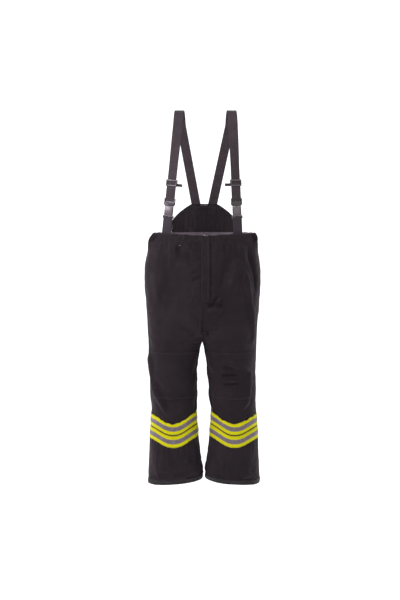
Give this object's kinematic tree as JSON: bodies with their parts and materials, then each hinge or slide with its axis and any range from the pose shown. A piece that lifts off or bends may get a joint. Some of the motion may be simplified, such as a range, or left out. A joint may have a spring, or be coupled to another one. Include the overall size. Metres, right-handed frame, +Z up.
{
  "type": "bunker pants",
  "caption": "Firefighter over-trousers with braces, back bib, fly flap, side-release buckles and double reflective bands on each leg.",
  "frame": {"origin": "between the two shoulder arcs of the braces, at the underside of the webbing", "axes": "+Z up, front faces -Y, the wearer's left is +X"},
  "size_m": [0.492, 0.2745, 1.613],
  "materials": {
    "shell_cloth": "near-black navy twill with a soft purple sheen",
    "barrier_film": "film-backed cloth",
    "quilted_liner": "quilted cloth",
    "elastic_cloth": "gathered cloth over elastic",
    "facing_cloth": "paler brushed cloth",
    "hem_leather": "coated hem binding",
    "patch_cloth": "doubled twill",
    "pad_foam": "closed-cell foam",
    "trim_yellow": "fluorescent lime-yellow woven tape",
    "trim_silver": "retroreflective silver tape",
    "bib_cloth": "matt black cloth",
    "binding_tape": "woven binding",
    "hook_tape": "hook and loop tape",
    "zip_cloth": "woven zip tape",
    "zip_brass": "dull brass",
    "slider_metal": "dull metal",
    "webbing": "ribbed black webbing",
    "adjuster_plastic": "moulded black plastic",
    "case_plastic": "moulded grey-black plastic"
  },
  "bodies": {
    "trousers": {"outer_front_right": "shell_cloth", "outer_front_left": "shell_cloth", "outer_back_right": "shell_cloth", "outer_back_left": "shell_cloth", "waistband_front_right": "shell_cloth", "waistband_front_left": "shell_cloth", "waistband_back": "shell_cloth", "brace_tab_right": "shell_cloth", "brace_tab_left": "shell_cloth", "fly_underlap": "shell_cloth", "moisture_barrier_right": "barrier_film", "moisture_barrier_left": "barrier_film", "thermal_liner_right": "quilted_liner", "thermal_liner_left": "quilted_liner", "side_elastic_right": "elastic_cloth", "side_elastic_left": "elastic_cloth", "waist_facing": "facing_cloth", "hem_guard_right": "hem_leather", "hem_guard_left": "hem_leather", "knee_patch_right": "patch_cloth", "knee_patch_left": "patch_cloth", "knee_pad_right": "pad_foam", "knee_pad_left": "pad_foam", "upper_trim_right": "trim_yellow", "upper_trim_left": "trim_yellow", "lower_trim_right": "trim_yellow", "lower_trim_left": "trim_yellow", "upper_silver_right": "trim_silver", "upper_silver_left": "trim_silver", "lower_silver_right": "trim_silver", "lower_silver_left": "trim_silver", "back_bib": "bib_cloth", "bib_lining": "bib_cloth", "bib_binding": "binding_tape", "fly_loops": "hook_tape", "zip_tape_right": "zip_cloth", "zip_tape_left": "zip_cloth", "zip_teeth": "zip_brass", "zip_stops": "zip_brass", "brace_strap_right": "webbing", "brace_strap_left": "webbing", "buckle_female_right": "case_plastic", "buckle_female_left": "case_plastic"},
    "adjuster_right": {"adjuster_right": "adjuster_plastic", "webbing_tail_right": "webbing"},
    "buckle_right": {"buckle_male_right": "adjuster_plastic", "webbing_loop_right": "webbing"},
    "prong_inner_right": {"prong_inner_right": "adjuster_plastic"},
    "prong_outer_right": {"prong_outer_right": "adjuster_plastic"},
    "adjuster_left": {"adjuster_left": "adjuster_plastic", "webbing_tail_left": "webbing"},
    "buckle_left": {"buckle_male_left": "adjuster_plastic", "webbing_loop_left": "webbing"},
    "prong_inner_left": {"prong_inner_left": "adjuster_plastic"},
    "prong_outer_left": {"prong_outer_left": "adjuster_plastic"},
    "zip_slider": {"zip_slider": "slider_metal"},
    "zip_pull": {"zip_pull": "slider_metal"},
    "flap": {"fly_flap": "shell_cloth", "flap_hooks": "hook_tape"}
  },
  "joints": [
    {"name": "flap_turn", "type": "hinge", "parent": "trousers", "child": "flap", "pos_m": [0.022, -0.12255, -0.66934], "axis": [0, 0.0549, 0.9985], "range_deg": [0, 150]},
    {"name": "zip_slide", "type": "slide", "parent": "trousers", "child": "zip_slider", "axis": [0, -0.0549, -0.9985], "range_m": [0, 0.245]},
    {"name": "pull_swing", "type": "hinge", "parent": "zip_slider", "child": "zip_pull", "pos_m": [0.008, -0.11416, -0.54412], "axis": [-1, 0, 0], "range_deg": [0, 52.5]},
    {"name": "adjuster_slide_right", "type": "slide", "parent": "trousers", "child": "adjuster_right", "axis": [0.1054, 0.0223, 0.9942], "range_m": [-0.012, 0.025]},
    {"name": "buckle_release_right", "type": "slide", "parent": "trousers", "child": "buckle_right", "axis": [0.1054, 0.0223, 0.9942], "range_m": [0, 0.034]},
    {"name": "prong_squeeze_right", "type": "hinge", "parent": "buckle_right", "child": "prong_outer_right", "pos_m": [-0.16001, -0.06398, -0.4098], "axis": [-0.3379, -0.9395, 0.0569], "range_deg": [0, 5], "stiffness_Nm_per_rad": 0.3},
    {"name": "prong_follow_right", "type": "hinge", "parent": "buckle_right", "child": "prong_inner_right", "pos_m": [-0.13859, -0.07181, -0.41189], "axis": [0.3379, 0.9395, -0.0569], "range_deg": [0, 5], "stiffness_Nm_per_rad": 0.3},
    {"name": "adjuster_slide_left", "type": "slide", "parent": "trousers", "child": "adjuster_left", "axis": [-0.0454, 0.0411, 0.9981], "range_m": [-0.012, 0.025]},
    {"name": "buckle_release_left", "type": "slide", "parent": "trousers", "child": "buckle_left", "axis": [-0.0454, 0.0411, 0.9981], "range_m": [0, 0.034]},
    {"name": "prong_squeeze_left", "type": "hinge", "parent": "buckle_left", "child": "prong_outer_left", "pos_m": [0.14672, -0.07057, -0.41008], "axis": [-0.3399, 0.9389, -0.0541], "range_deg": [0, 5], "stiffness_Nm_per_rad": 0.3},
    {"name": "prong_follow_left", "type": "hinge", "parent": "buckle_left", "child": "prong_inner_left", "pos_m": [0.12521, -0.07839, -0.41074], "axis": [0.3399, -0.9389, 0.0541], "range_deg": [0, 5], "stiffness_Nm_per_rad": 0.3}
  ],
  "couplings": [
    {"joint": "pull_swing", "follows": "flap_turn", "ratio": 0.35},
    {"joint": "prong_follow_right", "follows": "prong_squeeze_right", "ratio": 1},
    {"joint": "prong_follow_left", "follows": "prong_squeeze_left", "ratio": 1}
  ]
}
